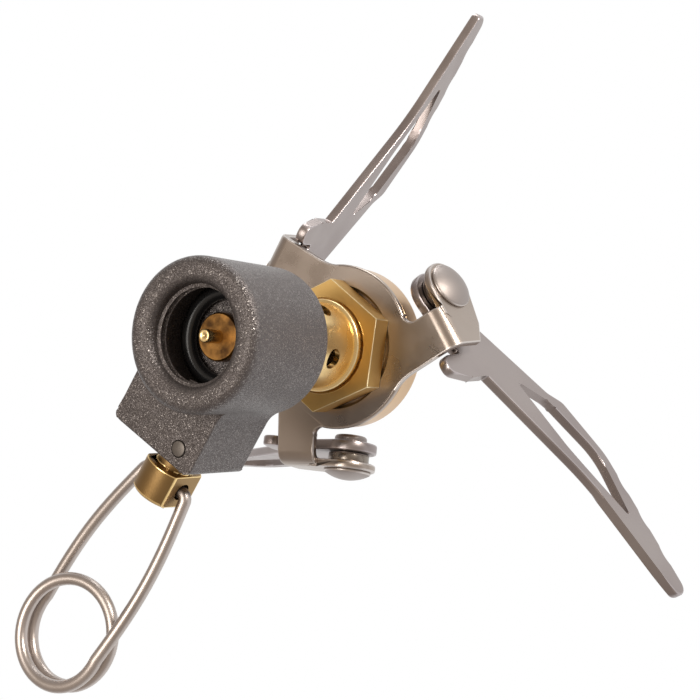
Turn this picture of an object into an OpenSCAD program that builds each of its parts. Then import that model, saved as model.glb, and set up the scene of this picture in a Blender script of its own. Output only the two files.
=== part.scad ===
// Folding camping gas burner that screws onto a gas canister.
// The origin is the centre of the socket's mouth, +Z is up and the valve handle points along +X.

/* [Valve body] */
// Outside diameter of the valve body
body_d = 17; // [16.5:0.1:20]
// Height of the valve body
body_h = 14.4; // [14:0.1:17]
// Rounding of the valve body's lower rim
rim_round = 1.2; // [0.4:0.1:1.5]
// Diameter of the canister socket's wall
socket_d = 11.1; // [10.8:0.1:11.4]
// Depth of the canister socket
socket_depth = 7.4; // [6.8:0.1:7.6]
// Widening of the socket behind its thread, on the radius
socket_relief = 0.5; // [0.4:0.05:0.8]

/* [Valve block] */
// Distance from the burner axis to the end of the block
block_l = 15; // [14.6:0.1:18]
// Width of the block on the left of the spindle
block_left = 7.3; // [5.6:0.1:7.6]
// Width of the block on the right of the spindle
block_right = 5.3; // [5.2:0.1:6.5]
// Height of the block's lower face above the socket's mouth
block_z = 4.5; // [3.5:0.1:5]
// Rounding of the block's upright edges
block_round = 1; // [0.4:0.1:1.5]
// Fillet between the drum and the block's left side
fillet_left = 1; // [0.6:0.1:1.5]
// Fillet between the drum and the block's right side
fillet_right = 3; // [2:0.1:4]
// Diameter of the spindle bore
bore_d = 7.2; // [7:0.1:7.4]
// Depth of the spindle bore from the end of the block
bore_depth = 7; // [6.8:0.1:7.4]
// Diameter of the gas channels
channel_d = 1; // [0.8:0.1:1.1]
// Diameter of the valve seat
seat_d = 1.8; // [1.6:0.1:2]

/* [Probe and seal] */
// Diameter of the probe pin
probe_d = 1.5; // [1.2:0.1:1.8]
// Depth of the pin's tip inside the mouth
probe_tip = 2.5; // [2:0.1:3.5]
// Diameter of the probe hub's disc
hub_d = 5.4; // [5:0.1:6]
// Depth of the hub's disc inside the mouth
hub_z = 5; // [4.6:0.1:5.2]
// Thickness of the hub's disc
hub_t = 1.2; // [1:0.1:1.4]
// Diameter of the hub's stem
hub_stem_d = 3.8; // [3.4:0.1:4]
// Thickness of the inlet filter
filter_t = 0.5; // [0.4:0.05:0.6]
// Thickness of the canister seal's ring
seal_d = 1.7; // [1.5:0.1:1.8]

/* [Spindle] */
// Diameter of the spindle's barrel head
head_d = 6.8; // [6.4:0.1:7.4]
// Length of the barrel head
head_l = 4.2; // [4:0.1:5]
// Distance between the barrel head's flats
head_flats = 5; // [4.8:0.1:5.8]
// Length of the neck between the block and the barrel head
neck_l = 2; // [1.6:0.1:3]
// Diameter of the spindle's neck
neck_d = 4.4; // [4:0.1:4.6]
// Diameter of the spindle in its retaining groove
groove_d = 3.2; // [3:0.1:3.4]
// Axial travel of the spindle
spindle_travel = 1.125; // [0.9:0.025:1.3]
// Thickness of the spindle seal's ring
ring_d = 1; // [0.8:0.05:1]
// Diameter of the retaining pin
pin_d = 1.8; // [1.6:0.05:2]
// Distance of the retaining pin from the end of the block
pin_inset = 2.1; // [2:0.1:2.3]

/* [Wire handle] */
// Diameter of the handle's wire
wire_d = 1.5; // [1.3:0.05:1.6]
// Distance from the cross hole to the ring's centre
ring_reach = 21.6; // [18:0.2:30]
// Radius of the ring to the middle of the wire
ring_r = 6.2; // [5:0.1:8]
// Rise of the wire in one turn of the ring
ring_pitch = 2; // [2:0.05:2.4]
// Outward bow of the handle's arms
arm_bow = 0.9; // [0:0.1:1.5]
// Downward tilt of the handle
handle_tilt = 10; // [0:1:20]

/* [Mixing tube] */
// Outside diameter of the mixing tube
tube_d = 10.6; // [10.4:0.1:11.2]
// Wall of the mixing tube
tube_wall = 0.7; // [0.6:0.05:1]
// Length of tube seen between the valve body and the nut
tube_show = 11.8; // [10.5:0.1:15]
// Depth of the tube's seat in the valve body
tube_seat = 1.4; // [1:0.1:1.5]
// Diameter of the air holes
air_d = 2.5; // [2:0.1:2.8]
// Number of air holes
air_count = 5; // [3:1:6]
// Turn of the air holes about the burner axis
air_turn = 43; // [0:1:72]
// Height of the air holes above the valve body
air_z = 6.6; // [5.5:0.1:7]
// Length of the collar under the nut
collar_l = 1.7; // [1.2:0.1:2]
// Diameter of the tube's threaded end
thread_d = 9.4; // [9.2:0.1:9.6]

/* [Nut] */
// Width of the hexagon nut across its flats
nut_af = 14.4; // [14:0.1:15]
// Height of the nut
nut_h = 3; // [2.6:0.1:3.4]
// Turn of the nut about the burner axis
nut_turn = 36; // [0:1:60]
// Depth of the recess in the nut's lower face
nut_recess = 0.7; // [0.4:0.1:1]

/* [Bracket] */
// Thickness of the bracket's sheet
sheet_t = 1; // [0.9:0.05:1.2]
// Outside diameter of the bracket's dish
dish_d = 20.6; // [20.2:0.1:23]
// Diameter of the floor that is pressed up over the nut
press_d = 15.5; // [15.2:0.1:16]
// Height to which the floor is pressed up
press_h = 0.5; // [0.4:0.05:0.6]
// Width of each arm
arm_w = 5.4; // [5:0.1:6]
// Sideways distance from the hinge to the near edge of the arm
arm_start = 2.5; // [2.2:0.1:3]
// Fillet between the arm's far edge and the dish
arm_fillet = 6; // [4:0.2:8]
// Fillet between the arm's near edge and the dish
arm_notch = 1.2; // [0.8:0.1:1.4]
// Outside radius of the arm's bend
bend_r = 2; // [1.6:0.1:2.2]
// Radius of the bracket's ears
ear_r = 3.5; // [3.2:0.05:3.6]

/* [Burner head] */
// Outside diameter of the burner head
burner_d = 20.2; // [19.6:0.1:22]
// Height of the burner head above the bracket
burner_h = 3.7; // [3.6:0.1:8]
// Height of the burner head's bevelled brim
brim_h = 1.3; // [0.8:0.1:1.4]
// Wall of the burner head
burner_wall = 1; // [0.8:0.1:1.2]
// Thickness of the flame plate
plate_t = 1; // [0.8:0.1:1.4]
// Thickness of the flame gauze
gauze_t = 0.5; // [0.4:0.1:0.8]
// Diameter of the flame holes
flame_d = 1.1; // [0.8:0.1:1.2]

/* [Hinges] */
// Angle of the first hinge from the handle
hinge_start = 90; // [84:1:96]
// Distance from the burner head's side to the middle of the pot support
hinge_gap = 2.7; // [2.5:0.1:3.6]
// Height of the hinges above the bracket's sheet
hinge_rise = 4.9; // [4.6:0.1:5.6]
// Outward lean of the pot supports
hinge_lean = 11; // [6:1:13]
// Inward turn of the hinge axis
hinge_toe = 2; // [0:0.1:5]
// Diameter of the rivet's shank
rivet_d = 2.5; // [2.2:0.1:2.8]
// Diameter of the rivet's head
rivet_head_d = 6; // [5.6:0.1:6.4]
// Height of the rivet's domed head
rivet_head_h = 1.2; // [0.8:0.05:1.4]
// Thickness of the spacer washer
spacer_t = 1.15; // [0.8:0.05:1.4]
// Diameter of the spacer washer
spacer_d = 5.2; // [4.8:0.1:6]

/* [Pot supports] */
// Thickness of the pot supports
support_t = 1.3; // [1:0.05:1.5]
// Diameter of a pot support's eye
eye_d = 6.9; // [6.4:0.1:7]
// Reach of a pot support from its hinge
support_reach = 44.6; // [40:0.2:52]
// Rise of a pot support from its hinge
support_rise = 20.5; // [19:0.1:24]
// Depth of the stop lug below the hinge
lug_drop = 4.8; // [4.6:0.1:5.4]
// Width of the stop lug
lug_w = 3.4; // [3:0.1:4]
// Depth of the pot grip scallops
scallop_depth = 0.25; // [0.2:0.05:0.6]

/* [Fits] */
// Gap on each side of a turning or sliding fit
run_fit = 0.08; // [0.05:0.01:0.1]
// Gap on each side of a fixed fit
seat_fit = 0.02; // [0.01:0.01:0.05]
// Gap between faces that pass one another
pass_gap = 0.12; // [0.1:0.01:0.2]

/* [Hidden] */
$fn = 64;
HINGES = 3;

// Colours of the materials
ANODISED = "#55525a";
BRASS = "#c89648";
STEEL = "#a59c94";
SUPPORT_STEEL = "#a49a9a";
RUBBER = "#17171a";

// Cut that clears a face by a little
over = 0.1;
// Depth to which a fillet runs into the round it meets
fillet_lap = 0.05;

// Jet
jet_thread_r = 2;
jet_thread_l = 1.2;
jet_flange_r = 2.9;
jet_flange_h = 2;
jet_nose_h = 2;
jet_bore_r = 0.8;
jet_orifice_r = 0.2;

// Places inside the valve body
spindle_z = (block_z + body_h) / 2;
spindle_r = bore_d / 2 - run_fit;
bore_x = block_l - bore_depth;
pin_x = block_l - pin_inset;
pin_y = -(groove_d / 2 + pin_d / 2 + run_fit);
seat_x = -seat_d / 2;
// The thread ends before the probe pin's tip
thread_l = probe_tip - pass_gap;
filter_z = socket_depth + filter_t;
hub_stem_h = socket_depth - hub_z - hub_t;
hub_pocket = 2 * filter_t;
tube_z = body_h - tube_seat;
outlet_z = tube_z - jet_thread_l - channel_d / 2;
jet_hole_z = outlet_z - channel_d / 2;
pin_roof = 1;
pin_l = body_h - block_z - pin_roof;
seal_r = socket_d / 2 + socket_relief - seal_d / 2 - pass_gap;

// Places along the spindle
pin_groove_x0 = pin_x - pin_d / 2 - spindle_travel - pass_gap;
pin_groove_x1 = pin_x + pin_d / 2 + pass_gap;
ring_groove_l = ring_d + 2 * pass_gap;
groove_land = 0.3;
ring_groove_x0 = pin_groove_x0 - groove_land - ring_groove_l;
ring_seat_r = spindle_r - ring_d;
cone_step = 0.4;
cone_r = seat_d / 2 + cone_step;
cone_l = 1.6;
head_x = block_l + neck_l;
cross_x = head_x + head_l / 2;
head_chamfer = head_d / 20;
// Pivot pins at the wire's ends are a little thicker than the wire
pivot_d = wire_d + 0.1;
cross_d = pivot_d + 2 * run_fit;

// Places up the burner axis
nut_z = body_h + tube_show;
thread_r = thread_d / 2;
collar_step = 0.4;
collar_r = tube_d / 2 + collar_step;
recess_gap = 0.2;
// Undersides of the bracket's flat and of its pressed floor, and the top of that floor
sheet_z = nut_z + nut_h;
floor_z = sheet_z + press_h;
deck_z = floor_z + sheet_t;
dish_r = dish_d / 2;
press_r = press_d / 2;
// The slope between the flat and the floor, and the roundings of the sheet
slope_in = 0.3 * sheet_t;
slope_shift = 0.6 * sheet_t;
edge_round = 0.4 * sheet_t;
press_round = 0.3 * sheet_t;
inner_round = 0.2 * sheet_t;
burner_r = burner_d / 2;
burner_top = deck_z + burner_h;
// The skirt hangs a little above the bracket's arms
skirt_z = sheet_z + sheet_t + seat_fit + pass_gap;
brim_in = 2 * brim_h / 3;
crown_r = burner_r - brim_in;
plate_r = crown_r - burner_wall - seat_fit;
plate_z = burner_top - plate_t;
gauze_z = plate_z - gauze_t;
ledge_w = 0.5;
socket_top = gauze_z - ledge_w;

// Hinges, measured in the hinge's own frame with its axis along X
hinge_r = burner_r + hinge_gap;
hinge_z = sheet_z + hinge_rise;
rivet_r = rivet_d / 2;
spacer_x = support_t / 2 + pass_gap;
ear_x = spacer_x + spacer_t;
arm_end = arm_start + arm_w;
// The arms' undersides lie a little above the dish's
arm_z0 = sheet_z - hinge_z + seat_fit;
arm_z1 = arm_z0 + sheet_t;
tab_top = 0.6;
// Shoulder that joins the ear to the tab
shoulder_in = 2.5;
shoulder_z = 2.2;
ear_turn = 16;
eye_r = eye_d / 2;
lug_u = arm_end + pass_gap;
// Inner end of the pot support's upper edge, as shares of its reach and rise
GRIP_END = [0.547, 0.905];
// Burner axis in plan, and the start of the bent strip, in the upright frame of a hinge
axis_plan = -hinge_r * [cos(hinge_toe), sin(hinge_toe)];
strip_x = -bend_r;

// Point [across, up] of the leaning hinge plane in the upright frame
function leaned(p) = [
    p[0] * cos(hinge_lean) + p[1] * sin(hinge_lean),
    p[1] * cos(hinge_lean) - p[0] * sin(hinge_lean)
];

// Place at height z, in the upright frame, of the leaning face at a distance x from the hinge plane
function foot_x(x, z) = x / cos(hinge_lean) + z * tan(hinge_lean);

function unit(v) = v / norm(v);

function heading(v) = atan2(v[1], v[0]);

// Points of an arc between two angles
function arc(centre, r, from, to, steps = 8) = [
    for (i = [0 : steps])
        let (a = from + (to - from) * i / steps)
        centre + r * [cos(a), sin(a)]
];

// Arc that rounds the corner b between a and c, where b is [x, y, radius]
function corner_arc(a, b, c, steps = 6) =
    let (
        p = [b[0], b[1]],
        d0 = unit([a[0], a[1]] - p),
        d1 = unit([c[0], c[1]] - p),
        half = acos(d0 * d1) / 2,
        centre = p + unit(d0 + d1) * b[2] / sin(half),
        t0 = p + d0 * b[2] / tan(half),
        t1 = p + d1 * b[2] / tan(half),
        m0 = unit(t0 - centre),
        m1 = unit(t1 - centre),
        sweep = 180 - 2 * half
    )
    [for (i = [0 : steps]) centre + b[2]
        * (m0 * sin(sweep * (1 - i / steps)) + m1 * sin(sweep * i / steps)) / sin(sweep)];

// Outline with every corner rounded by its own radius
function rounded(points) = [
    for (i = [0 : len(points) - 1])
        let (b = points[i], last = len(points) - 1)
        each (b[2] > 0
            ? corner_arc(points[i == 0 ? last : i - 1], b, points[i == last ? 0 : i + 1])
            : [[b[0], b[1]]])
];

// Solid ring of round section
module torus(r, section_d) {
    rotate_extrude() translate([r, 0]) circle(d = section_d, $fn = 32);
}

// Flat plate in the plane square to X, from x0 for a thickness t
module upright_plate(x0, t) {
    translate([x0, 0, 0]) rotate([90, 0, 90]) linear_extrude(t) children();
}

// Cylinder along X
module rod_x(x0, l, d) {
    translate([x0, 0, 0]) rotate([0, 90, 0]) cylinder(h = l, d = d);
}

// Frame of hinge k on the burner, upright
module hinge_base(k) {
    rotate([0, 0, hinge_start + 360 / HINGES * (k - 1)])
        translate([hinge_r, 0, hinge_z]) rotate([0, 0, -hinge_toe]) children();
}

// Frame of hinge k, leaning with the pot support
module hinge_frame(k) {
    hinge_base(k) rotate([0, hinge_lean, 0]) children();
}

// Plan of the side block with rounded outer corners
module block_plan() {
    polygon(rounded([
        [0, -block_right, 0], [block_l, -block_right, block_round],
        [block_l, block_left, block_round], [0, block_left, 0]
    ]));
    drum_fillet(block_left, 1, fillet_left);
    drum_fillet(block_right, -1, fillet_right);
}

// Plan of the fillet between the drum and the block's edge, side is 1 or -1
module drum_fillet(edge, side, r) {
    cy = edge + r;
    cx = sqrt(pow(body_d / 2 - fillet_lap + r, 2) - cy * cy);
    difference() {
        polygon([[0, 0], [cx, 0], [cx, side * cy]]);
        translate([cx, side * cy]) circle(r = r);
    }
}

module valve_body() {
    r = body_d / 2;
    color(ANODISED) difference() {
        union() {
            rotate_extrude() polygon(rounded([
                [0, 0, 0], [r, 0, rim_round], [r, body_h, rim_round / 2], [0, body_h, 0]
            ]));
            translate([0, 0, block_z]) linear_extrude(body_h - block_z) block_plan();
        }
        // Canister socket and the pocket for the hub's stem
        translate([0, 0, -over]) cylinder(h = socket_depth, d = socket_d);
        translate([0, 0, thread_l]) cylinder(h = socket_depth - thread_l, r = socket_d / 2 + socket_relief);
        cylinder(h = socket_depth + hub_pocket, d = hub_stem_d + 2 * seat_fit);
        // Seats of the mixing tube and the jet
        translate([0, 0, tube_z]) cylinder(h = tube_seat + over, d = tube_d + 2 * seat_fit);
        translate([0, 0, jet_hole_z])
            cylinder(h = tube_z - jet_hole_z + over, r = jet_thread_r + seat_fit);
        // Spindle bore, valve seat and gas channels
        translate([0, 0, spindle_z]) {
            rod_x(bore_x, bore_depth + over, bore_d);
            rod_x(seat_x, bore_x - seat_x + over, seat_d);
        }
        translate([0, 0, socket_depth]) cylinder(h = spindle_z - socket_depth, d = channel_d);
        translate([0, 0, outlet_z]) rod_x(0, bore_x + over, channel_d);
        // Hole of the retaining pin
        translate([pin_x, pin_y, block_z - over])
            cylinder(h = pin_l + over, d = pin_d + 2 * seat_fit);
    }
}

module canister_seal() {
    color(RUBBER) translate([0, 0, socket_depth - seal_d / 2 - seat_fit]) torus(seal_r, seal_d);
}

module probe_hub() {
    color(BRASS) difference() {
        union() {
            translate([0, 0, hub_z]) cylinder(h = hub_t, d = hub_d);
            translate([0, 0, hub_z + hub_t]) cylinder(h = hub_stem_h + filter_t, d = hub_stem_d);
        }
        // Seat of the pin, cross holes that let the gas in and the bore that leads it on
        translate([0, 0, hub_z - over]) cylinder(h = hub_t / 2 + over, d = probe_d + 2 * seat_fit);
        translate([0, 0, hub_z + hub_t + channel_d / 2]) {
            translate([0, hub_stem_d, 0]) rotate([90, 0, 0]) cylinder(h = 2 * hub_stem_d, d = 0.8 * channel_d);
            cylinder(h = hub_stem_h + filter_t, d = 0.8 * channel_d);
        }
    }
}

module probe_pin() {
    dome = probe_d / 4;
    color(BRASS) translate([0, 0, probe_tip]) rotate_extrude() polygon(rounded([
        [0, 0, 0], [probe_d / 2, 0, dome], [probe_d / 2, hub_z - probe_tip + hub_t / 2, 0],
        [0, hub_z - probe_tip + hub_t / 2, 0]
    ]));
}

module inlet_filter() {
    color(STEEL) translate([0, 0, filter_z]) cylinder(h = hub_pocket - filter_t, d = hub_stem_d);
}

module retaining_pin() {
    chamfer = pin_d / 10;
    color(STEEL) translate([pin_x, pin_y, block_z]) rotate_extrude() polygon([
        [0, -chamfer], [pin_d / 2 - chamfer, -chamfer], [pin_d / 2, 0], [pin_d / 2, pin_l], [0, pin_l]
    ]);
}

// Half section of the spindle: [distance along X, radius]
function spindle_section() = [
    [bore_x - cone_l / 2, 0], [bore_x - cone_l / 2, seat_d / 4], [bore_x + cone_l / 2, cone_r],
    [bore_x + cone_l / 2, spindle_r], [ring_groove_x0, spindle_r], [ring_groove_x0, ring_seat_r],
    [ring_groove_x0 + ring_groove_l, ring_seat_r], [ring_groove_x0 + ring_groove_l, spindle_r],
    [pin_groove_x0, spindle_r], [pin_groove_x0, groove_d / 2], [pin_groove_x1, groove_d / 2],
    [pin_groove_x1, spindle_r], [block_l, spindle_r], [block_l, neck_d / 2], [head_x + over, neck_d / 2],
    [head_x + over, 0]
];

module valve_spindle() {
    color(BRASS) translate([0, 0, spindle_z]) difference() {
        union() {
            rotate([0, 90, 0]) rotate_extrude() polygon([for (p = spindle_section()) [p[1], p[0]]]);
            intersection() {
                rotate([0, 90, 0]) rotate_extrude() polygon([
                    [0, head_x], [head_d / 2, head_x], [head_d / 2, head_x + head_l - head_chamfer],
                    [head_d / 2 - head_chamfer, head_x + head_l], [0, head_x + head_l]
                ]);
                translate([head_x, -head_flats / 2, -head_d]) cube([head_l, head_flats, 2 * head_d]);
            }
        }
        translate([cross_x, head_flats, 0]) rotate([90, 0, 0]) cylinder(h = 2 * head_flats, d = cross_d);
    }
}

module spindle_seal() {
    color(RUBBER) translate([ring_groove_x0 + ring_groove_l / 2, 0, spindle_z]) rotate([0, 90, 0])
        torus(ring_seat_r + ring_d / 2, ring_d - 2 * seat_fit);
}

// Route of the handle's wire in its own frame: [along, across, up], cross hole at the origin
hook_y = head_flats / 2 + pass_gap;
hook_slack = 0.2;
hook_r = wire_d / 2 + hook_slack;
arm_y = hook_y + hook_r;
arm_run = norm([ring_reach - hook_r, arm_y]);
arm_heading = asin(ring_r / arm_run) - atan2(arm_y, ring_reach - hook_r);
ring_from = 90 + arm_heading;
ring_turn = 2 * ring_from + 360;
ring_lift = ring_pitch * ring_turn / 720;
RING_STEPS = 38;
ARM_STEPS = 6;
HOOK_STEPS = 4;
WIRE_SIDES = 8;
// Length of the hook's straight end that lies inside the pivot pin
hook_lap = 0.3;

function hook_points() = concat([[0, hook_y - hook_lap, 0]],
    [for (i = [0 : HOOK_STEPS])
        let (a = i / HOOK_STEPS * (90 - arm_heading))
        [hook_r * (1 - cos(a)), hook_y + hook_r * sin(a), 0]]);

// Arm between the hook and the ring, bowed outward
function arm_points() =
    let (
        from = hook_points()[HOOK_STEPS + 1],
        to = ring_points()[0],
        out = [-sin(arm_heading), cos(arm_heading), 0]
    )
    [for (i = [1 : ARM_STEPS - 1])
        let (f = i / ARM_STEPS)
        from + (to - from) * f + out * arm_bow * sin(180 * f)];

function ring_points() = [
    for (i = [0 : RING_STEPS])
        let (f = i / RING_STEPS, a = ring_from - ring_turn * f)
        [ring_reach + ring_r * cos(a), ring_r * sin(a), ring_lift * (1 - 2 * f)]
];

function mirrored(points) = [for (i = [len(points) - 1 : -1 : 0]) [points[i][0], -points[i][1], -points[i][2]]];

// Arm and hook of one side, mirrored to the other side with the wire's rise turned round
function half_route() = concat(hook_points(), arm_points());

function wire_route() = concat(half_route(), ring_points(), mirrored(half_route()));

// Least gap of the wire to itself, between points further apart along the route than a half turn
function wire_gap(route, apart) = min([
    for (i = [0 : len(route) - apart - 1], j = [i + apart : len(route) - 1]) norm(route[i] - route[j])
]) - wire_d;

echo(wire_gap = wire_gap(wire_route(), RING_STEPS / 3));

// Section of the swept wire at point i of a route
function wire_section(route, i) =
    let (
        last = len(route) - 1,
        t = unit(route[min(i + 1, last)] - route[max(i - 1, 0)]),
        side = unit(cross([0, 0, 1], t)),
        up = cross(t, side)
    )
    [for (j = [0 : WIRE_SIDES - 1])
        let (a = 360 * j / WIRE_SIDES)
        route[i] + wire_d / 2 * (cos(a) * side + sin(a) * up)];

module swept_wire(route) {
    n = len(route);
    s = WIRE_SIDES;
    sides = [for (i = [0 : n - 2], j = [0 : s - 1])
        let (a = i * s + j, b = i * s + (j + 1) % s)
        each [[a, a + s, b], [b, a + s, b + s]]];
    caps = [for (j = [1 : s - 2]) each [[0, j, j + 1], [(n - 1) * s, (n - 1) * s + j + 1, (n - 1) * s + j]]];
    polyhedron(points = [for (i = [0 : n - 1]) each wire_section(route, i)], faces = concat(sides, caps));
}

module wire_handle() {
    pin_gap = 2;
    color(STEEL) translate([cross_x, 0, spindle_z]) rotate([0, handle_tilt, 0]) {
        swept_wire(wire_route());
        for (side = [0, 180]) rotate([0, 0, side]) translate([0, hook_y, 0]) rotate([90, 0, 0])
            cylinder(h = hook_y - pin_gap / 2, d = pivot_d);
    }
}

module gas_jet() {
    color(BRASS) difference() {
        rotate_extrude() polygon([
            [0, outlet_z + channel_d / 2], [jet_thread_r, outlet_z + channel_d / 2], [jet_thread_r, tube_z],
            [jet_flange_r, tube_z], [jet_flange_r, tube_z + jet_flange_h],
            [jet_thread_r, tube_z + jet_flange_h], [jet_bore_r, tube_z + jet_flange_h + jet_nose_h],
            [0, tube_z + jet_flange_h + jet_nose_h]
        ]);
        translate([0, 0, outlet_z])
            cylinder(h = tube_z - outlet_z + jet_flange_h + jet_nose_h / 2, r = jet_bore_r);
        translate([0, 0, tube_z])
            cylinder(h = jet_flange_h + jet_nose_h + over, r = jet_orifice_r);
    }
}

module mixing_tube() {
    r = tube_d / 2;
    collar_z = nut_z + nut_recess - collar_l;
    color(BRASS) difference() {
        rotate_extrude() polygon([
            [r - tube_wall, tube_z], [r, tube_z], [r, collar_z], [collar_r, collar_z + collar_step / 2],
            [collar_r, nut_z + nut_recess], [thread_r, nut_z + nut_recess], [thread_r, socket_top],
            [thread_r - tube_wall, socket_top], [thread_r - tube_wall, nut_z], [r - tube_wall, collar_z]
        ]);
        for (i = [0 : air_count - 1]) rotate([0, 0, 360 / air_count * i + air_turn])
            translate([0, 0, body_h + air_z]) rod_x(r - 2 * tube_wall, 3 * tube_wall, air_d);
    }
}

module hex_nut() {
    // A round face on the nut bears on the bracket's floor, and the corners stay just clear of the flat
    face_r = nut_af / 2 - recess_gap;
    color(BRASS) translate([0, 0, nut_z]) difference() {
        union() {
            rotate([0, 0, nut_turn]) cylinder(h = nut_h - seat_fit, d = nut_af / cos(30), $fn = 6);
            translate([0, 0, nut_h / 2]) cylinder(h = nut_h / 2 + press_h, r = face_r);
        }
        translate([0, 0, -over]) cylinder(h = nut_h + press_h + 2 * over, d = thread_d + 2 * seat_fit);
        translate([0, 0, -over]) cylinder(h = nut_recess + over, r = collar_r + recess_gap);
    }
}

// Half section of the bracket's dish: the floor pressed up over the nut, its slope and the flat
function dish_section() = [
    [thread_r + seat_fit, floor_z, 0], [press_r - slope_in, floor_z, inner_round],
    [press_r, sheet_z, press_round], [dish_r, sheet_z, edge_round], [dish_r, sheet_z + sheet_t, edge_round],
    [press_r + slope_shift, sheet_z + sheet_t, inner_round],
    [press_r - slope_in + slope_shift, deck_z, press_round], [thread_r + seat_fit, deck_z, 0]
];

// Centre of the fillet of radius r between the dish and an arm's edge, side is 1 or -1
function fillet_centre(edge, side, r) =
    let (cy = edge + side * r)
    [axis_plan[0] + sqrt(pow(dish_r - fillet_lap + r, 2) - pow(cy - axis_plan[1], 2)), cy];

// Plan of the flat between the dish and an arm's bend, with a fillet on each side
function arm_outline() =
    let (
        far = fillet_centre(arm_end, 1, arm_fillet),
        near = fillet_centre(arm_start, -1, arm_notch),
        far_a = heading(far - axis_plan),
        near_a = heading(near - axis_plan),
        end_x = strip_x + sheet_t
    )
    concat(
        [[end_x, arm_start], [end_x, arm_end]],
        arc(far, arm_fillet, 270, 180 + far_a),
        arc(axis_plan, dish_r - edge_round - over, far_a, near_a),
        arc(near, arm_notch, 180 + near_a, 90)
    );

// Arm of hinge k: strip from the dish, bent up into a tab that carries the ear
module bracket_arm(k) {
    // The tab lies inside the ear's faces by a hair
    x0 = ear_x + seat_fit;
    x1 = ear_x + sheet_t - seat_fit;
    hinge_base(k) {
        translate([0, arm_end, 0]) rotate([90, 0, 0]) linear_extrude(arm_w) polygon(rounded([
            [strip_x, arm_z0, 0], [foot_x(x1, arm_z0), arm_z0, bend_r],
            concat(leaned([x1, tab_top]), 0), concat(leaned([x0, tab_top]), 0),
            [foot_x(x0, arm_z1), arm_z1, bend_r - sheet_t], [strip_x, arm_z1, 0]
        ]));
        translate([0, 0, arm_z0]) linear_extrude(sheet_t) polygon(arm_outline());
    }
    hinge_frame(k) upright_plate(ear_x, sheet_t) {
        circle(r = ear_r);
        polygon([
            [0, -ear_r], [arm_start + sheet_t, -ear_r], [arm_end, tab_top], [arm_end - shoulder_in, shoulder_z],
            ear_r * [sin(ear_turn), cos(ear_turn)]
        ]);
    }
}

module support_bracket() {
    color(STEEL) difference() {
        union() {
            rotate_extrude() polygon(rounded(dish_section()));
            for (k = [1 : HINGES]) bracket_arm(k);
        }
        for (k = [1 : HINGES]) hinge_frame(k) rod_x(ear_x - over, sheet_t + 2 * over, rivet_d + 2 * seat_fit);
    }
}

module burner_head() {
    bore_r = thread_r + seat_fit;
    sleeve_r = bore_r + burner_wall;
    skirt_r = burner_r - burner_wall;
    chamber_r = crown_r - burner_wall;
    chamber_z = deck_z + burner_wall;
    lip_round = 0.3;
    color(BRASS) rotate_extrude() polygon(rounded([
        [bore_r, deck_z, 0], [skirt_r, deck_z, 0], [skirt_r, skirt_z, 0], [burner_r, skirt_z, lip_round],
        [burner_r, burner_top - brim_h, lip_round], [crown_r, burner_top, lip_round], [chamber_r, burner_top, 0],
        [chamber_r, gauze_z, 0], [chamber_r - ledge_w, gauze_z, 0], [chamber_r - ledge_w, chamber_z, lip_round],
        [sleeve_r, chamber_z, 0], [sleeve_r, socket_top, 0], [bore_r, socket_top, 0]
    ]));
}

module flame_gauze() {
    color(STEEL) translate([0, 0, gauze_z]) cylinder(h = gauze_t, r = plate_r);
}

module flame_plate() {
    rings = 4;
    color(BRASS) translate([0, 0, plate_z]) difference() {
        cylinder(h = plate_t, r = plate_r);
        for (ring = [1 : rings], i = [0 : 6 * ring - 1])
            rotate([0, 0, 60 / ring * i]) translate([ring * plate_r / (rings + 0.5), 0, -over])
                cylinder(h = plate_t + 2 * over, d = flame_d, $fn = 24);
    }
}

// Outline of a pot support in its own plane, from the eye along the lower edge to the tip and back
function support_outline() = [
    [0, -eye_r, 0], [lug_u - 1, -0.6 * eye_r, 0.4], [lug_u, -0.35 * eye_r, 0.3],
    [lug_u, -lug_drop, 1.2], [lug_u + 0.7 * lug_w, -lug_drop, 1.2], [lug_u + lug_w, -lug_drop / 4, 1.2],
    [lug_u + lug_w, 0.095 * support_rise, 0.4], [0.617 * support_reach, 0.6 * support_rise, 30],
    [0.985 * support_reach, 0.873 * support_rise, 1], [support_reach, support_rise, 1.3],
    concat(GRIP_END * [[support_reach, 0], [0, support_rise]], 8),
    [0.368 * support_reach, 0.732 * support_rise, 2], [0.332 * support_reach, 0.622 * support_rise, 2],
    [0.03 * support_reach, 0.09 * support_rise, 0]
];

// Long window in a pot support
function support_window() = [
    [0.28 * support_reach, 0.351 * support_rise, 0.3], [0.5 * support_reach, 0.545 * support_rise, 12],
    [0.751 * support_reach, 0.815 * support_rise, 0.3], [0.547 * support_reach, 0.835 * support_rise, 8],
    [0.36 * support_reach, 0.59 * support_rise, 6]
];

// Pot support in its hinge's frame
module support_plate() {
    scallop_r = 4;
    difference() {
        upright_plate(-support_t / 2, support_t) difference() {
            union() {
                circle(r = eye_r);
                polygon(rounded(support_outline()));
            }
            polygon(rounded(support_window()));
            for (f = [0.2 : 0.25 : 0.7])
                translate((GRIP_END + f * ([1, 1] - GRIP_END)) * [[support_reach, 0], [0, support_rise]])
                    translate([0, scallop_r - scallop_depth]) circle(r = scallop_r);
        }
        rod_x(-support_t, 2 * support_t, rivet_d + 2 * run_fit);
    }
}

module pot_support(k) {
    color(SUPPORT_STEEL) hinge_frame(k) support_plate();
}

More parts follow.
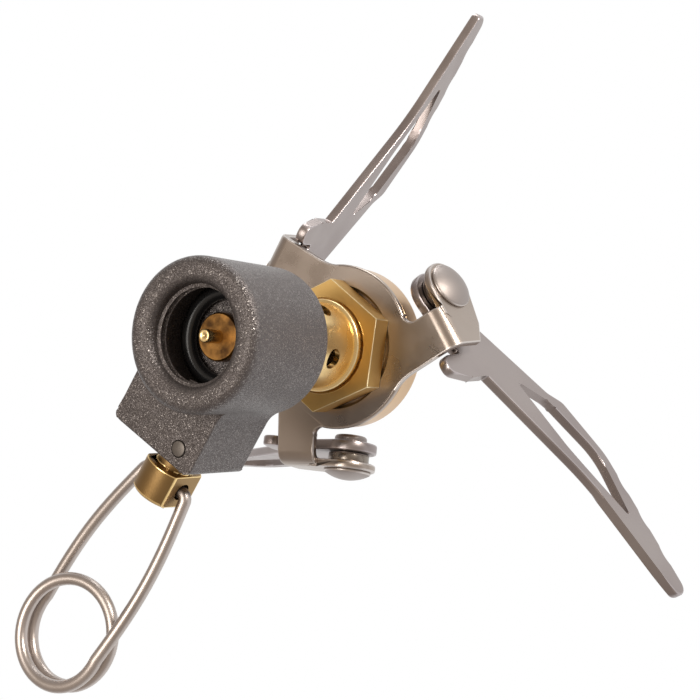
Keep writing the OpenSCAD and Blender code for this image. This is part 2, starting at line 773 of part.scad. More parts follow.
// Half section of a rivet: [radius, distance along X]
function rivet_section() =
    let (
        tail_r = 0.6 * eye_r,
        tail_h = 0.8,
        tail_x = -support_t / 2 - pass_gap - tail_h,
        head_x0 = ear_x + sheet_t,
        head_r = rivet_head_d / 2,
        edge_h = 0.3,
        crown_h = rivet_head_h - edge_h,
        dome_r = (head_r * head_r + crown_h * crown_h) / (2 * crown_h)
    )
    concat(
        rounded([
            [0, tail_x, 0], [tail_r, tail_x, tail_h / 2], [tail_r, tail_x + tail_h, 0],
            [rivet_r, tail_x + tail_h, 0], [rivet_r, head_x0, 0], [head_r, head_x0, 0]
        ]),
        arc([0, head_x0 + rivet_head_h - dome_r], dome_r, acos(head_r / dome_r), 90)
    );

module pivot_rivet(k) {
    color(STEEL) hinge_frame(k) rotate([0, 90, 0]) rotate_extrude() polygon(rivet_section());
}

module spacer_washer(k) {
    color(STEEL) hinge_frame(k) difference() {
        rod_x(spacer_x, spacer_t, spacer_d);
        rod_x(spacer_x - over, spacer_t + 2 * over, rivet_d + 2 * seat_fit);
    }
}

valve_body();
canister_seal();
probe_hub();
probe_pin();
inlet_filter();
retaining_pin();
valve_spindle();
spindle_seal();
wire_handle();
gas_jet();
mixing_tube();
hex_nut();
support_bracket();
burner_head();
flame_gauze();
flame_plate();
for (k = [1 : HINGES]) {
    pot_support(k);
    pivot_rivet(k);
    spacer_washer(k);
}
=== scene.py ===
"""Folding camping gas burner: the looks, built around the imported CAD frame.

The frame is the CAD's: the origin is the centre of the socket's mouth, +Z is up along the burner axis
and the valve handle points along +X. A length with MM beside it is in metres. A plain one is in
millimetres, for an outline or a route that gets its scale as it is made.
"""

from __future__ import annotations

import logging
import math
from collections.abc import Callable, Iterator
from contextlib import contextmanager
from dataclasses import dataclass, field
from enum import Enum
from functools import cache

import bpy
from mathutils import Matrix, Vector

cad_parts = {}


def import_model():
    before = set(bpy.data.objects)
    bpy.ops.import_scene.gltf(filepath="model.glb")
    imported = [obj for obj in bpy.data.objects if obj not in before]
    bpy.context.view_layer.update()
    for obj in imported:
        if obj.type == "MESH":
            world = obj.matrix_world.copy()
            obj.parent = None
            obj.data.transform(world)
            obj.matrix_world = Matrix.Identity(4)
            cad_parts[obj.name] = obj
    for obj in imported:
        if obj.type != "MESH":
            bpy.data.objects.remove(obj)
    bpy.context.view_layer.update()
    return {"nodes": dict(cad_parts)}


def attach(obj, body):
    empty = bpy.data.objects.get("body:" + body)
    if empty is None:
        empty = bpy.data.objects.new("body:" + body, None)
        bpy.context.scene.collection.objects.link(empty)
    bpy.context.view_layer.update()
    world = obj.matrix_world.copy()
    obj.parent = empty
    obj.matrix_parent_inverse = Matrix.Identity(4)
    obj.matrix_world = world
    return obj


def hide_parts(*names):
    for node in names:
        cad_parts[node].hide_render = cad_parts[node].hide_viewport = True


LOG = logging.getLogger("burner")
MM = 0.001

Point = tuple[float, float, float]
Colour = tuple[float, float, float]
Corner = tuple[float, float]
Span = tuple[float, float]
Choice = Callable[[Vector], bool]


class Body(Enum):
    """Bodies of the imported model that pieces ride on."""

    BURNER = "burner"
    SPINDLE = "spindle"
    HANDLE = "handle"
    SUPPORT = "support_"


class Slot(Enum):
    """Material slots of the record."""

    ANODISED = "anodised"
    BRASS = "brass"
    STEEL = "steel"
    SUPPORT_STEEL = "support_steel"


# Shader nodes


class Sheet:
    """A node tree under construction, with short calls for adding and joining nodes."""

    ROW = 8
    STEP_RIGHT = 220
    STEP_DOWN = 260
    MIX_FIRST = 6
    MIX_SECOND = 7
    MIX_RESULT = 2

    def __init__(self, tree: bpy.types.NodeTree) -> None:
        """Keep the tree and count its nodes for their places."""
        self.tree = tree
        self.count = 0

    def add(self, kind: str, **values: object) -> bpy.types.Node:
        """Add a node.

        Args:
            kind: the node's type name.
            values: attributes of the node to set.

        Returns:
            The new node.
        """
        made = self.tree.nodes.new(kind)
        row, column = divmod(self.count, self.ROW)
        made.location = (self.STEP_RIGHT * column, -self.STEP_DOWN * row)
        self.count += 1
        for key, value in values.items():
            setattr(made, key, value)
        return made

    def join(self, source: bpy.types.NodeSocket, target: bpy.types.NodeSocket) -> None:
        """Link one socket to another."""
        self.tree.links.new(source, target)

    def feed(self, target: bpy.types.NodeSocket, value: object) -> None:
        """Link a socket to the target, or set a plain value on it.

        Args:
            target: the socket that is fed.
            value: another socket, or the plain value.
        """
        if isinstance(value, bpy.types.NodeSocket):
            self.join(value, target)
        else:
            target.default_value = value

    def chain(self, made: bpy.types.Node, *values: object) -> bpy.types.NodeSocket:
        """Feed a node's inputs in order.

        Args:
            made: the node.
            values: sockets or plain values.

        Returns:
            The node's first output.
        """
        for socket, value in zip(made.inputs, values):
            self.feed(socket, value)
        return made.outputs[0]

    def math(self, operation: str, *values: object) -> bpy.types.NodeSocket:
        """Result of a maths node on sockets or plain numbers."""
        return self.chain(self.add("ShaderNodeMath", operation=operation), *values)

    def vector(self, operation: str, *values: object) -> bpy.types.NodeSocket:
        """Result of a vector maths node on sockets or plain vectors."""
        return self.chain(self.add("ShaderNodeVectorMath", operation=operation), *values)

    def spread(self, value: object, source: Span, target: Span = (0.0, 1.0)) -> bpy.types.NodeSocket:
        """Value mapped from one range to another, and held at both ends."""
        return self.chain(self.add("ShaderNodeMapRange", clamp=True), value, *source, *target)

    def mix(self, factor: object, first: object, second: object) -> bpy.types.NodeSocket:
        """Mix two colours.

        Args:
            factor: share of the second colour.
            first: first colour, a socket or four numbers.
            second: second colour, a socket or four numbers.

        Returns:
            The mixed colour's socket.
        """
        made = self.add("ShaderNodeMix", data_type="RGBA")
        self.feed(made.inputs["Factor"], factor)
        self.feed(made.inputs[self.MIX_FIRST], first)
        self.feed(made.inputs[self.MIX_SECOND], second)
        return made.outputs[self.MIX_RESULT]

    def noise(self, place: object, scale: object, detail: float) -> bpy.types.NodeSocket:
        """Noise texture's value.

        Args:
            place: coordinates.
            scale: features per metre.
            detail: octaves.

        Returns:
            The noise's socket.
        """
        made = self.add("ShaderNodeTexNoise")
        self.feed(made.inputs["Vector"], place)
        self.feed(made.inputs["Scale"], scale)
        made.inputs["Detail"].default_value = detail
        return made.outputs[0]


def opaque(colour: Colour) -> tuple[float, float, float, float]:
    """Colour with full opacity."""
    return (*colour, 1.0)


class Effects:
    """Node groups that several finishes share, each built once."""

    GRAIN_MIDDLE = (0.5, 0.5, 0.5)
    SCRATCH_TURNS = ((0.3, 0.2, 0.5), (1.4, 0.7, 2.1))

    @staticmethod
    def group(
        name: str, inputs: dict[str, float], outputs: list[str]
    ) -> tuple[Sheet, bpy.types.Node, bpy.types.Node]:
        """Start a group.

        Args:
            name: the group's name.
            inputs: its number sockets with their defaults.
            outputs: names of its sockets out, numbers except for a normal.

        Returns:
            The sheet, the input node and the output node.
        """
        tree = bpy.data.node_groups.new(name, "ShaderNodeTree")
        for label, default in inputs.items():
            socket = tree.interface.new_socket(label, in_out="INPUT", socket_type="NodeSocketFloat")
            socket.default_value = default
        for label in outputs:
            kind = "NodeSocketVector" if label == "Normal" else "NodeSocketFloat"
            tree.interface.new_socket(label, in_out="OUTPUT", socket_type=kind)
        sheet = Sheet(tree)
        return sheet, sheet.add("NodeGroupInput"), sheet.add("NodeGroupOutput")

    @classmethod
    @cache
    def blast(cls) -> bpy.types.NodeTree:
        """Blasted grain: a normal and a chance for each grain, a fine height and slow changes of tone.

        Returns:
            The group.
        """
        inputs = {"Grains": 12500.0, "Tilt": 0.6}
        sheet, given, out = cls.group("Blasted grain", inputs, ["Normal", "Chance", "Height", "Tone"])
        place = sheet.add("ShaderNodeTexCoord").outputs["Object"]
        cells = sheet.add("ShaderNodeTexVoronoi")
        sheet.join(place, cells.inputs["Vector"])
        sheet.join(given.outputs["Grains"], cells.inputs["Scale"])
        lean = sheet.vector("SUBTRACT", cells.outputs["Color"], cls.GRAIN_MIDDLE)
        lean = sheet.vector("MULTIPLY", lean, given.outputs["Tilt"])
        flat = sheet.add("ShaderNodeNewGeometry").outputs["Normal"]
        sheet.join(sheet.vector("NORMALIZE", sheet.vector("ADD", flat, lean)), out.inputs["Normal"])
        chance = sheet.add("ShaderNodeSeparateColor")
        sheet.join(cells.outputs["Color"], chance.inputs[0])
        sheet.join(chance.outputs[2], out.inputs["Chance"])
        sheet.join(sheet.noise(place, given.outputs["Grains"], detail=3.0), out.inputs["Height"])
        sheet.join(sheet.noise(place, scale=420.0, detail=4.0), out.inputs["Tone"])
        return sheet.tree

    @classmethod
    @cache
    def marks(cls) -> bpy.types.NodeTree:
        """Handling marks on metal: fine scratches, smudges and slow changes of tone.

        Returns:
            The group.
        """
        inputs = {"Scratches": 2600.0, "Stretch": 12.0, "Smudges": 240.0, "Patches": 90.0}
        sheet, given, out = cls.group("Handling marks", inputs, ["Height", "Smudge", "Tone"])
        place = sheet.add("ShaderNodeTexCoord").outputs["Object"]
        heights = []
        for turn in cls.SCRATCH_TURNS:
            turned = sheet.add("ShaderNodeMapping", vector_type="POINT")
            turned.inputs["Rotation"].default_value = turn
            sheet.join(place, turned.inputs["Vector"])
            parts = sheet.add("ShaderNodeSeparateXYZ")
            sheet.join(turned.outputs[0], parts.inputs[0])
            along = sheet.math("DIVIDE", parts.outputs[0], given.outputs["Stretch"])
            squeezed = sheet.chain(sheet.add("ShaderNodeCombineXYZ"), along, *parts.outputs[1:])
            heights.append(sheet.noise(squeezed, given.outputs["Scratches"], detail=2.0))
        sheet.join(sheet.math("ADD", *heights), out.inputs["Height"])
        sheet.join(sheet.noise(place, given.outputs["Smudges"], detail=5.0), out.inputs["Smudge"])
        sheet.join(sheet.noise(place, given.outputs["Patches"], detail=3.0), out.inputs["Tone"])
        return sheet.tree

    @classmethod
    @cache
    def turning(cls) -> bpy.types.NodeTree:
        """Tool lines of a lathe about the burner axis, on walls and on faces alike.

        Returns:
            The group.
        """
        sheet, given, out = cls.group("Turning lines", {"Lines": 5200.0}, ["Height"])
        parts = sheet.add("ShaderNodeSeparateXYZ")
        sheet.join(sheet.add("ShaderNodeTexCoord").outputs["Object"], parts.inputs[0])
        square = [sheet.math("MULTIPLY", parts.outputs[i], parts.outputs[i]) for i in (0, 1)]
        radius = sheet.math("SQRT", sheet.math("ADD", *square))
        line = sheet.add("ShaderNodeTexNoise", noise_dimensions="1D")
        sheet.join(sheet.math("ADD", radius, parts.outputs[2]), line.inputs["W"])
        sheet.join(given.outputs["Lines"], line.inputs["Scale"])
        sheet.join(line.outputs[0], out.inputs["Height"])
        return sheet.tree

    @staticmethod
    def place(sheet: Sheet, tree: bpy.types.NodeTree, **values: float) -> bpy.types.Node:
        """Put a group into a material.

        Args:
            sheet: the material's sheet.
            tree: the group.
            values: numbers for its inputs, by name.

        Returns:
            The group's node.
        """
        made = sheet.add("ShaderNodeGroup", node_tree=tree)
        for name, value in values.items():
            made.inputs[name].default_value = value
        return made


# Finishes


@dataclass(frozen=True)
class Finish:
    """A surface finish. A finish is made into a material once, and shared."""

    name: str
    colour: Colour
    rough: float

    def start(self, metallic: float) -> tuple[bpy.types.Material, Sheet, bpy.types.Node]:
        """Make an empty material with its shader.

        Args:
            metallic: how metallic the shader is.

        Returns:
            The material, its sheet and its shader node.
        """
        made = bpy.data.materials.new(self.name)
        made.use_nodes = True
        sheet = Sheet(made.node_tree)
        shader = next(n for n in made.node_tree.nodes if n.type == "BSDF_PRINCIPLED")
        shader.inputs["Metallic"].default_value = metallic
        shader.inputs["Roughness"].default_value = self.rough
        return made, sheet, shader

    @staticmethod
    def bump(
        sheet: Sheet,
        shader: bpy.types.Node,
        height: bpy.types.NodeSocket,
        depth: float,
        strength: float,
        normal: bpy.types.NodeSocket | None = None,
    ) -> None:
        """Give the shader a bump.

        Args:
            sheet: the material's sheet.
            shader: the shader node.
            height: the height's socket.
            depth: the height's size in metres.
            strength: share of the bump that shows.
            normal: the normal that the bump starts from.
        """
        made = sheet.add("ShaderNodeBump")
        made.inputs["Strength"].default_value = strength
        made.inputs["Distance"].default_value = depth
        sheet.join(height, made.inputs["Height"])
        if normal is not None:
            sheet.join(normal, made.inputs["Normal"])
        sheet.join(made.outputs[0], shader.inputs["Normal"])

    def build(self) -> bpy.types.Material:
        """Make the material."""
        raise NotImplementedError

    def material(self) -> bpy.types.Material:
        """The finish's material, made on first use."""
        return bpy.data.materials.get(self.name) or self.build()


@dataclass(frozen=True)
class BlastedAnodising(Finish):
    """Dark anodised aluminium with a blasted grain, in which each grain leans its own way and a few
    grains are painted lighter as painted glints.
    """

    dark: Colour = (0.088, 0.077, 0.075)
    glint: Colour = (0.38, 0.345, 0.32)
    metallic: float = 0.66
    grains: float = 12500.0
    tilt: float = 0.6
    depth: float = 0.01 * MM
    strength: float = 0.5
    tone_span: Span = (0.3, 0.7)
    darkest: float = 0.6
    glint_span: Span = (0.8, 1.0)
    brightest: float = 0.8
    polish: float = 0.12

    def build(self) -> bpy.types.Material:
        """Make the material.

        Returns:
            The material.
        """
        made, sheet, shader = self.start(self.metallic)
        grain = Effects.place(sheet, Effects.blast(), Grains=self.grains, Tilt=self.tilt)
        tone = sheet.spread(grain.outputs["Tone"], self.tone_span, (0.0, self.darkest))
        ground = sheet.mix(tone, opaque(self.colour), opaque(self.dark))
        # A few grains get the lighter glint colour: painted glints, with lower roughness there.
        shine = sheet.spread(grain.outputs["Chance"], self.glint_span, (0.0, self.brightest))
        sheet.join(sheet.mix(shine, ground, opaque(self.glint)), shader.inputs["Base Color"])
        rough = sheet.spread(shine, (0.0, self.brightest), (self.rough, self.rough - self.polish))
        sheet.join(rough, shader.inputs["Roughness"])
        height, normal = grain.outputs["Height"], grain.outputs["Normal"]
        self.bump(sheet, shader, height, self.depth, self.strength, normal)
        return made


@dataclass(frozen=True)
class WorkedMetal(Finish):
    """Bare metal with handling marks, or with lathe lines about the burner axis."""

    dull: Colour
    turned: bool = False
    scratch: float = 0.004 * MM
    stretch: float = 12.0
    patches: float = 90.0
    lines: float = 5200.0
    smudge: float = 0.12
    smudge_span: Span = (0.3, 0.7)
    tarnish_span: Span = (0.38, 0.68)
    scratch_share: float = 0.25
    strength: float = 0.6

    def build(self) -> bpy.types.Material:
        """Make the material.

        Returns:
            The material.
        """
        made, sheet, shader = self.start(1.0)
        marks = Effects.place(sheet, Effects.marks(), Stretch=self.stretch, Patches=self.patches)
        tarnish = sheet.spread(marks.outputs["Tone"], self.tarnish_span)
        colour = sheet.mix(tarnish, opaque(self.colour), opaque(self.dull))
        sheet.join(colour, shader.inputs["Base Color"])
        roughs = (self.rough - self.smudge / 2, self.rough + self.smudge / 2)
        rough = sheet.spread(marks.outputs["Smudge"], self.smudge_span, roughs)
        sheet.join(rough, shader.inputs["Roughness"])
        height = marks.outputs["Height"]
        if self.turned:
            lathe = Effects.place(sheet, Effects.turning(), Lines=self.lines)
            scratches = sheet.math("MULTIPLY", height, self.scratch_share)
            height = sheet.math("ADD", lathe.outputs["Height"], scratches)
        self.bump(sheet, shader, height, self.scratch, self.strength)
        return made


@dataclass(frozen=True)
class SealRubber(Finish):
    """Black rubber with a soft shine and a little dust."""

    dust: Colour = (0.05, 0.048, 0.045)
    scratches: float = 1800.0
    stretch: float = 1.0
    dust_span: Span = (0.5, 0.8)
    dustiest: float = 0.5
    smudge: float = 0.15
    smudge_span: Span = (0.3, 0.7)
    depth: float = 0.006 * MM
    strength: float = 0.5

    def build(self) -> bpy.types.Material:
        """Make the material.

        Returns:
            The material.
        """
        made, sheet, shader = self.start(0.0)
        marks = Effects.place(sheet, Effects.marks(), Scratches=self.scratches, Stretch=self.stretch)
        dusty = sheet.spread(marks.outputs["Smudge"], self.dust_span, (0.0, self.dustiest))
        colour = sheet.mix(dusty, opaque(self.colour), opaque(self.dust))
        sheet.join(colour, shader.inputs["Base Color"])
        roughs = (self.rough, self.rough + self.smudge)
        rough = sheet.spread(marks.outputs["Smudge"], self.smudge_span, roughs)
        sheet.join(rough, shader.inputs["Roughness"])
        self.bump(sheet, shader, marks.outputs["Height"], self.depth, self.strength)
        return made


@dataclass(frozen=True)
class WovenGauze(Finish):
    """Fine steel gauze: crossed wires drawn as height and shade."""

    gap: Colour = (0.02, 0.018, 0.016)
    wires: float = 3.2 / MM
    shade_span: Span = (0.55, 0.95)
    depth: float = 0.1 * MM
    strength: float = 0.8

    def build(self) -> bpy.types.Material:
        """Make the material.

        Returns:
            The material.
        """
        made, sheet, shader = self.start(1.0)
        parts = sheet.add("ShaderNodeSeparateXYZ")
        sheet.join(sheet.add("ShaderNodeTexCoord").outputs["Object"], parts.inputs[0])
        waves = []
        for axis in (0, 1):
            phase = sheet.math("MULTIPLY", parts.outputs[axis], self.wires * math.pi)
            waves.append(sheet.math("ABSOLUTE", sheet.math("SINE", phase)))
        wire = sheet.math("MAXIMUM", *waves)
        shade = sheet.spread(wire, self.shade_span)
        colour = sheet.mix(shade, opaque(self.gap), opaque(self.colour))
        sheet.join(colour, shader.inputs["Base Color"])
        self.bump(sheet, shader, wire, self.depth, self.strength)
        return made


ANODISED = BlastedAnodising("Blasted anodising", (0.115, 0.100, 0.097), 0.4)
TURNED_BRASS = WorkedMetal(
    "Turned brass", (1.0, 0.76, 0.38), 0.27, (0.88, 0.62, 0.27), turned=True, scratch=0.0015 * MM)
MILLED_BRASS = WorkedMetal(
    "Milled brass", (0.84, 0.57, 0.22), 0.36, (0.72, 0.46, 0.155), scratch=0.005 * MM)
# Turned brass darkened as painted shade for the burner head.
SHADED_BURNER_BRASS = WorkedMetal(
    "Burner brass darkened as painted shade", (0.66, 0.47, 0.30), 0.34, (0.56, 0.38, 0.225), turned=True, scratch=0.0015 * MM)
# Brass darkened as painted shade for the spindle.
SHADED_SPINDLE_BRASS = WorkedMetal(
    "Spindle brass darkened as painted shade", (0.34, 0.22, 0.095), 0.36, (0.27, 0.165, 0.065), scratch=0.005 * MM)
STAINED_BRASS = WorkedMetal(
    "Stained brass", (0.42, 0.21, 0.06), 0.4, (0.09, 0.045, 0.018),
    scratch=0.008 * MM, stretch=2.0, patches=650.0)
# Lighter brass for rounded edges: painted highlight.
BRASS_EDGE_HIGHLIGHT = WorkedMetal("Brass edge painted highlight", (1.0, 0.84, 0.52), 0.3, (0.92, 0.72, 0.38))
PRESSED_STEEL = WorkedMetal(
    "Pressed steel", (0.42, 0.36, 0.315), 0.3, (0.38, 0.32, 0.275), scratch=0.002 * MM, stretch=5.0)
# Lighter steel for rounded edges: painted highlight.
STEEL_EDGE_HIGHLIGHT = WorkedMetal(
    "Steel edge painted highlight", (0.60, 0.55, 0.52), 0.3, (0.52, 0.47, 0.44), scratch=0.002 * MM, stretch=3.0)
BLADE_STEEL = WorkedMetal(
    "Tumbled steel blade", (0.37, 0.325, 0.31), 0.36, (0.32, 0.275, 0.265), stretch=4.0)
# Lighter blade steel for rounded edges: painted highlight.
BLADE_EDGE_HIGHLIGHT = WorkedMetal(
    "Blade edge painted highlight", (0.48, 0.43, 0.425), 0.3, (0.40, 0.355, 0.35), stretch=4.0)
RIVET_STEEL = WorkedMetal(
    "Rivet steel", (0.38, 0.335, 0.315), 0.46, (0.33, 0.29, 0.27), stretch=3.0)
WASHER_STEEL = WorkedMetal(
    "Washer steel", (0.30, 0.26, 0.225), 0.24, (0.22, 0.185, 0.155), stretch=3.0)
NICKEL_WIRE = WorkedMetal(
    "Nickel wire", (0.53, 0.47, 0.435), 0.36, (0.47, 0.415, 0.38), scratch=0.0004 * MM, stretch=20.0)
PIN_STEEL = WorkedMetal(
    "Dowel steel", (0.19, 0.168, 0.15), 0.5, (0.14, 0.125, 0.112), stretch=2.0, patches=900.0)
# Near-black ring round the dowel's end: painted shadow of the gap at its seat.
PIN_SHADOW_GAP = WorkedMetal(
    "Dowel seat painted shadow", (0.03, 0.026, 0.023), 0.5, (0.015, 0.013, 0.012), stretch=2.0)
RUBBER = SealRubber("Seal rubber", (0.012, 0.012, 0.013), 0.2)
GAUZE = WovenGauze("Woven gauze", (0.42, 0.38, 0.34), 0.4)


# Modelling moves


class Bench:
    """The modelling moves that the pieces share, done with Blender's operators."""

    NODE_MERGE = 0.0004 * MM
    MERGE = 0.0005 * MM
    FLAT_ANGLE = math.radians(0.4)
    SHARP_ANGLE = math.radians(25)
    LEAST_FACE = 0.6
    FLAT_WEIGHT = 90
    nodes: dict[str, bpy.types.Object] = {}

    @staticmethod
    def only(obj: bpy.types.Object) -> None:
        """Make one object the selected and active one.

        Args:
            obj: the object.
        """
        bpy.ops.object.select_all(action="DESELECT")
        obj.select_set(True)
        bpy.context.view_layer.objects.active = obj

    @classmethod
    @contextmanager
    def editing(cls, obj: bpy.types.Object) -> Iterator[None]:
        """Edit mode on one object, with all its corners selected.

        Args:
            obj: the object.
        """
        cls.only(obj)
        bpy.ops.object.mode_set(mode="EDIT")
        bpy.ops.mesh.select_mode(type="VERT")
        bpy.ops.mesh.select_all(action="SELECT")
        try:
            yield
        finally:
            bpy.ops.object.mode_set(mode="OBJECT")

    @classmethod
    def apply(cls, obj: bpy.types.Object, kind: str, **values: object) -> None:
        """Add a modifier and apply it.

        Args:
            obj: the object.
            kind: the modifier's type name.
            values: attributes of the modifier.
        """
        cls.only(obj)
        bpy.ops.object.modifier_add(type=kind)
        modifier = obj.modifiers[-1]
        for key, value in values.items():
            setattr(modifier, key, value)
        bpy.ops.object.modifier_apply(modifier=modifier.name)

    @classmethod
    def smooth(cls, obj: bpy.types.Object, angle: float = 32.0) -> None:
        """Shade smooth, except over sharp edges, with the flats kept flat.

        Args:
            obj: the object.
            angle: degrees from which an edge is sharp.
        """
        cls.only(obj)
        bpy.ops.object.shade_smooth_by_angle(angle=math.radians(angle))
        cls.apply(obj, "WEIGHTED_NORMAL", weight=cls.FLAT_WEIGHT, keep_sharp=True)

    @classmethod
    def copy_node(cls, node: str, name: str) -> bpy.types.Object:
        """Copy a CAD node as a clean mesh.

        Args:
            node: the CAD node.
            name: the copy's name.

        Returns:
            The copy, with its corners merged and its flat faces joined.
        """
        obj = bpy.data.objects.new(name, cls.nodes[node].data.copy())
        bpy.context.scene.collection.objects.link(obj)
        obj.data.materials.clear()
        cls.only(obj)
        bpy.ops.mesh.customdata_custom_splitnormals_clear()
        with cls.editing(obj):
            bpy.ops.mesh.remove_doubles(threshold=cls.NODE_MERGE)
            bpy.ops.mesh.dissolve_limited(angle_limit=cls.FLAT_ANGLE)
        return obj

    @classmethod
    def soften(cls, obj: bpy.types.Object, width: float, rounded: Choice, segments: int = 2) -> None:
        """Round the sharp edges, and put the rounding in the second material slot.

        Args:
            obj: the object.
            width: the rounding's width.
            rounded: whether an outer edge gets the rounding, from the edge's middle.
            segments: faces across the rounding.
        """
        mesh = obj.data
        sharp_cosine = math.cos(cls.SHARP_ANGLE)
        sides: dict[tuple[int, int], list[int]] = {}
        for face in mesh.polygons:
            for key in face.edge_keys:
                sides.setdefault(key, []).append(face.index)
        weights = mesh.attributes.new("bevel_weight_edge", "FLOAT", "EDGE")
        for edge in mesh.edges:
            faces = sides.get(edge.key, [])
            if len(faces) != 2:
                continue
            first, second = (mesh.polygons[i] for i in faces)
            if first.normal.dot(second.normal) > sharp_cosine:
                continue
            ends = [mesh.vertices[i].co for i in edge.vertices]
            length = (ends[1] - ends[0]).length
            if min(first.area, second.area) < cls.LEAST_FACE * width * length:
                continue
            hollow = first.normal.dot(second.center - first.center) > 0
            middle = (ends[0] + ends[1]) / 2
            weights.data[edge.index].value = float(not hollow and rounded(middle))
        # The bevel can only use a slot that is there already.
        for _ in range(2):
            mesh.materials.append(None)
        cls.apply(obj, "BEVEL", width=width, segments=segments, limit_method="WEIGHT",
                  use_clamp_overlap=False, material=1)

    @staticmethod
    def arc(centre: Corner, radius: float, start: float, end: float, steps: int = 8) -> list[Corner]:
        """Points along an arc between two angles in degrees, both ends among them."""
        angles = [math.radians(start + (end - start) * i / steps) for i in range(steps + 1)]
        return [(centre[0] + radius * math.cos(a), centre[1] + radius * math.sin(a)) for a in angles]

    @classmethod
    def turned(cls, name: str, outline: list[Corner], steps: int = 72) -> bpy.types.Object:
        """Turn a half outline about Z, as on a lathe.

        Args:
            name: the piece's name.
            outline: corners as (radius, height), in millimetres.
            steps: faces around the axis.

        Returns:
            The closed piece.
        """
        corners = [Vector((r, 0, z)) * MM for r, z in outline]
        bpy.ops.object.select_all(action="DESELECT")
        bpy.ops.mesh.primitive_plane_add(size=MM, location=(0, 0, 0))
        obj = bpy.context.object
        obj.name = name
        with cls.editing(obj):
            bpy.ops.mesh.merge(type="CENTER")
            bpy.ops.transform.translate(value=corners[0])
            for here, there in zip(corners, corners[1:]):
                bpy.ops.mesh.extrude_region_move(TRANSFORM_OT_translate={"value": there - here})
            bpy.ops.mesh.select_all(action="SELECT")
            bpy.ops.mesh.spin(steps=steps, angle=math.tau, center=(0, 0, 0), axis=(0, 0, 1))
            bpy.ops.mesh.select_all(action="SELECT")
            bpy.ops.mesh.remove_doubles(threshold=cls.MERGE)
            bpy.ops.mesh.normals_make_consistent(inside=False)
        return obj

    @classmethod
    def settle(cls, obj: bpy.types.Object, place: Matrix) -> None:
        """Move a piece to its place and leave its object at the origin.

        Args:
            obj: the piece.
            place: where it goes.
        """
        obj.matrix_world = place
        cls.only(obj)
        bpy.ops.object.transform_apply(location=True, rotation=True, scale=True)

    @staticmethod
    def dress(obj: bpy.types.Object, *finishes: Finish) -> None:
        """Give an object its finishes.

        Args:
            obj: the object.
            finishes: the finishes in slot order.
        """
        slots = obj.data.materials
        for i, finish in enumerate(finishes):
            if i < len(slots):
                slots[i] = finish.material()
            else:
                slots.append(finish.material())


@dataclass
class Assembly:
    """A group of pieces that is built and reported together."""

    made: list[str] = field(default_factory=list, init=False)

    def build(self) -> None:
        """Build the group's pieces."""
        raise NotImplementedError

    def rounded(self, middle: Vector) -> bool:
        """Whether an outer edge with this middle gets a rounding."""
        return True

    def keep(self, obj: bpy.types.Object, body: str, slot: Slot, *nodes: str) -> None:
        """Put a finished piece on its body.

        Args:
            obj: the piece.
            body: name of the body it rides on.
            slot: the record's material slot; not used.
            nodes: CAD nodes that it stands for.
        """
        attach(obj, body)
        if nodes:
            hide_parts(*nodes)
        self.made.append(obj.name)

    def rework(
        self, piece: bpy.types.Object, rounding: float, finishes: tuple[Finish, Finish],
        body: str, slot: Slot, node: str,
    ) -> None:
        """Round a copied node's edges, dress it and put it on its body.

        Args:
            piece: the copy.
            rounding: width of the rounding.
            finishes: finish of the faces, and of the rounded edges, where a lighter copy is a painted
                highlight.
            body: name of the body it rides on.
            slot: the record's material slot.
            node: the CAD node that it stands for.
        """
        Bench.soften(piece, rounding, self.rounded)
        Bench.smooth(piece)
        Bench.dress(piece, *finishes)
        self.keep(piece, body, slot, node)

    def paint(self, node: str, finish: Finish) -> None:
        """Give a shown CAD node its finish."""
        Bench.dress(Bench.nodes[node], finish)
        self.made.append(node)


# The burner's groups


